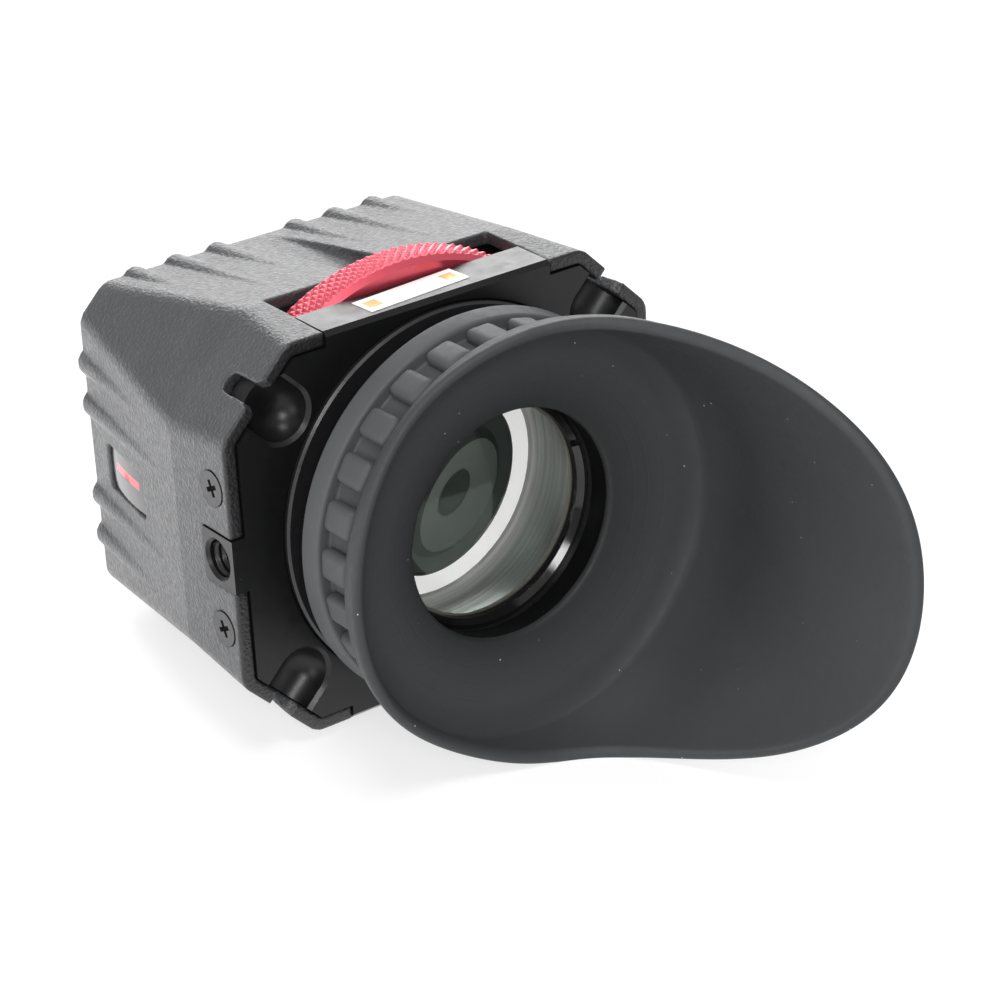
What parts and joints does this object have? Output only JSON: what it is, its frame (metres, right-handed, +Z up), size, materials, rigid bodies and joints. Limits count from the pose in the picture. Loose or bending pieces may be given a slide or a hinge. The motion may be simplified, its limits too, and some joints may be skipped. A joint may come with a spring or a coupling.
{
  "type": "screen viewfinder loupe",
  "caption": "Optical viewfinder loupe for a camera screen: flared housing, front plate, knurled focusing wheel, sliding lens barrel and turning rubber eyecup.",
  "frame": {"origin": "centre of the screen opening, in the plane of the rear rim", "axes": "+Y along the optical axis from the eye to the screen, +Z up, +X to the right as seen from the eye"},
  "size_m": [0.0858, 0.135, 0.0796],
  "materials": {
    "moulded_plastic": "spark-eroded black moulding",
    "black_metal": "black anodised, satin",
    "black_steel": "black oxide",
    "slip_plastic": "natural",
    "spring_steel": "ground",
    "badge_gloss": "domed gloss",
    "label_paper": "coated paper",
    "seal_rubber": "matte",
    "red_anodised": "red anodised, knurled",
    "barrel_black": "black anodised",
    "coated_glass": "coated",
    "turned_aluminium": "fine turned",
    "white_nylon": "smooth",
    "gloss_black": "gloss",
    "seat_plastic": "matte",
    "soft_rubber": "soft matte silicone rubber"
  },
  "bodies": {
    "housing": {"housing_shell": "moulded_plastic", "front_plate": "black_metal", "side_screws": "black_steel", "bulkhead": "black_metal", "bulkhead_screws": "black_steel", "front_thrust_washer": "slip_plastic", "rear_thrust_washer": "slip_plastic", "spring_washer": "spring_steel", "stop_pin": "spring_steel", "guide_pins": "spring_steel", "badge_left": "badge_gloss", "badge_right": "badge_gloss", "top_label": "label_paper", "rear_seal": "seal_rubber"},
    "wheel": {"diopter_wheel": "red_anodised"},
    "barrel": {"lens_barrel": "barrel_black", "eye_lens": "coated_glass", "field_lens": "coated_glass", "lens_spacer": "turned_aluminium", "lens_shim": "white_nylon", "lens_retainer": "gloss_black", "lens_o_ring": "seal_rubber", "eyecup_seat": "seat_plastic", "seat_screws": "black_steel"},
    "eyecup": {"eyecup": "soft_rubber", "eyecup_insert": "seat_plastic"}
  },
  "joints": [
    {"name": "diopter_turn", "type": "hinge", "parent": "housing", "child": "wheel", "pos_m": [0, -0.043, 0], "axis": [0, -1, 0], "range_deg": [-150, 120]},
    {"name": "barrel_slide", "type": "slide", "parent": "housing", "child": "barrel", "axis": [0, -1, 0], "range_m": [-0.0051, 0.0041]},
    {"name": "eyecup_turn", "type": "hinge", "parent": "barrel", "child": "eyecup", "pos_m": [0, -0.066, 0], "axis": [0, -1, 0], "continuous": true}
  ],
  "couplings": [
    {"joint": "barrel_slide", "follows": "diopter_turn", "m_per_rad": 0.0019099}
  ]
}
